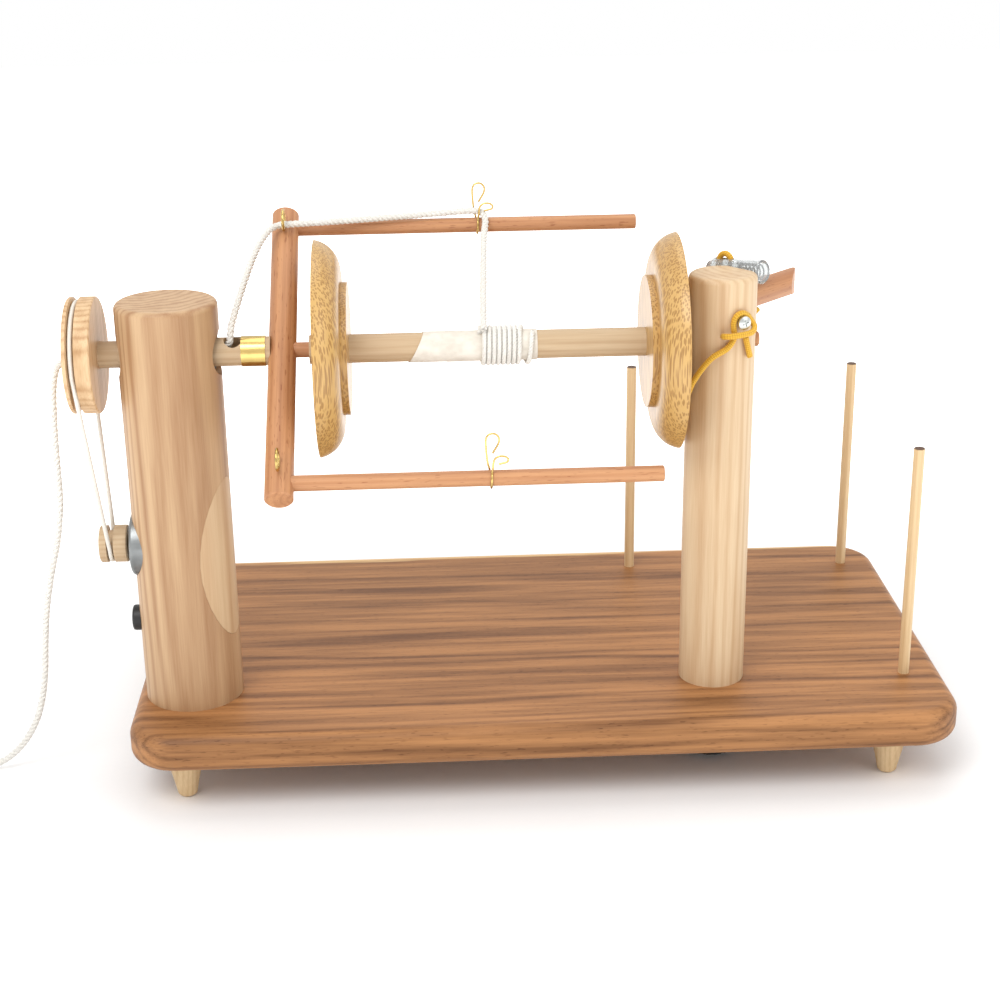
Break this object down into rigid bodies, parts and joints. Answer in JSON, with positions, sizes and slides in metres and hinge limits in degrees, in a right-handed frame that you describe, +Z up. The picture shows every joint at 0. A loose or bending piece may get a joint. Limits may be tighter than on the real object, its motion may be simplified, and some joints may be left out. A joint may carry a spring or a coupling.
{
  "type": "electric yarn plying machine",
  "caption": "Electric yarn plying machine: wooden flyer and bobbin between two posts on a board, belt drive, cord brake.",
  "frame": {"origin": "on the floor, under the middle of the machine's box without its loose yarn", "axes": "+X along the spindle from the motor post to the support post, +Y to the back, +Z up"},
  "size_m": [0.6069, 0.2666, 0.3131],
  "materials": {
    "acacia": "oiled, satin",
    "turned_wood": "matt",
    "pine": "satin",
    "red_beech": "satin",
    "bamboo": "lacquered",
    "brass": "bright",
    "steel": "brushed",
    "black_plastic": "matt",
    "circuit_board": "satin",
    "clear_plastic": "clear",
    "belt": "translucent",
    "yarn": "twisted cotton",
    "paper": "matt",
    "yellow_cord": "braided"
  },
  "bodies": {
    "frame": {"base_board": "acacia", "foot_front_left": "turned_wood", "foot_front_right": "turned_wood", "foot_back_left": "turned_wood", "foot_back_right": "turned_wood", "motor_post": "pine", "access_cover": "pine", "post_screws": "steel", "motor_can": "steel", "motor_leads": "black_plastic", "potentiometer": "steel", "control_board": "circuit_board", "dc_inlet": "black_plastic", "bearing_left": "steel", "bearing_right": "steel", "drive_belt": "belt", "support_post": "pine", "axle_bush": "brass", "threaded_insert": "brass", "brake_screw": "steel", "brake_cord": "yellow_cord", "tension_peg": "red_beech", "lock_barrel": "clear_plastic", "lock_spring": "steel", "yarn_peg_front": "turned_wood", "yarn_peg_back_right": "turned_wood", "yarn_peg_back_mid": "turned_wood", "yarn_lead": "yarn", "yarn_coil": "yarn"},
    "flyer": {"spindle_shaft": "turned_wood", "flyer_whorl": "turned_wood", "ferrule": "brass", "crossbar": "red_beech", "arm_upper": "red_beech", "arm_lower": "red_beech", "axle_rod": "red_beech", "eye_upper": "brass", "eye_lower": "brass", "yarn_flyer": "yarn"},
    "drive": {"motor_shaft": "steel", "motor_rotor": "steel", "drive_pulley": "turned_wood"},
    "bobbin": {"bobbin_tube": "turned_wood", "dish_left": "bamboo", "dish_right": "bamboo", "brake_whorl": "turned_wood", "paper_wrap": "paper", "yarn_winding": "yarn"},
    "upper_hook": {"hook_upper": "brass"},
    "lower_hook": {"hook_lower": "brass"},
    "knob": {"speed_knob": "black_plastic"},
    "clamp": {"clamp_knob": "black_plastic", "clamp_bolt": "steel"},
    "plunger": {"lock_plunger": "clear_plastic"}
  },
  "joints": [
    {"name": "flyer_spin", "type": "hinge", "parent": "frame", "child": "flyer", "pos_m": [-0.1255, -0.05388, 0.2412], "axis": [1, 0, 0], "continuous": true},
    {"name": "motor_spin", "type": "hinge", "parent": "frame", "child": "drive", "pos_m": [-0.221, -0.05388, 0.136], "axis": [1, 0, 0], "continuous": true},
    {"name": "bobbin_spin", "type": "hinge", "parent": "flyer", "child": "bobbin", "pos_m": [-0.011, -0.05388, 0.2412], "axis": [1, 0, 0], "continuous": true},
    {"name": "upper_hook_slide", "type": "slide", "parent": "flyer", "child": "upper_hook", "axis": [1, 0, 0], "range_m": [-0.066, 0.075], "deforming": ["yarn_flyer"]},
    {"name": "lower_hook_slide", "type": "slide", "parent": "flyer", "child": "lower_hook", "axis": [1, 0, 0], "range_m": [-0.09, 0.075]},
    {"name": "knob_turn", "type": "hinge", "parent": "frame", "child": "knob", "pos_m": [-0.212, -0.05388, 0.0922], "axis": [-1, 0, 0], "range_deg": [0, 280]},
    {"name": "clamp_turn", "type": "hinge", "parent": "frame", "child": "clamp", "pos_m": [0.1037, -0.05388, 0.015], "axis": [0, 0, 1], "range_deg": [-720, 0]},
    {"name": "plunger_press", "type": "slide", "parent": "frame", "child": "plunger", "axis": [0.7013, -0.7062, 0.0976], "range_m": [0, 0.0025], "stiffness_N_per_m": 400, "springref_m": -0.004, "deforming": ["lock_spring"]}
  ],
  "couplings": [
    {"joint": "motor_spin", "follows": "flyer_spin", "ratio": 3.1839}
  ]
}
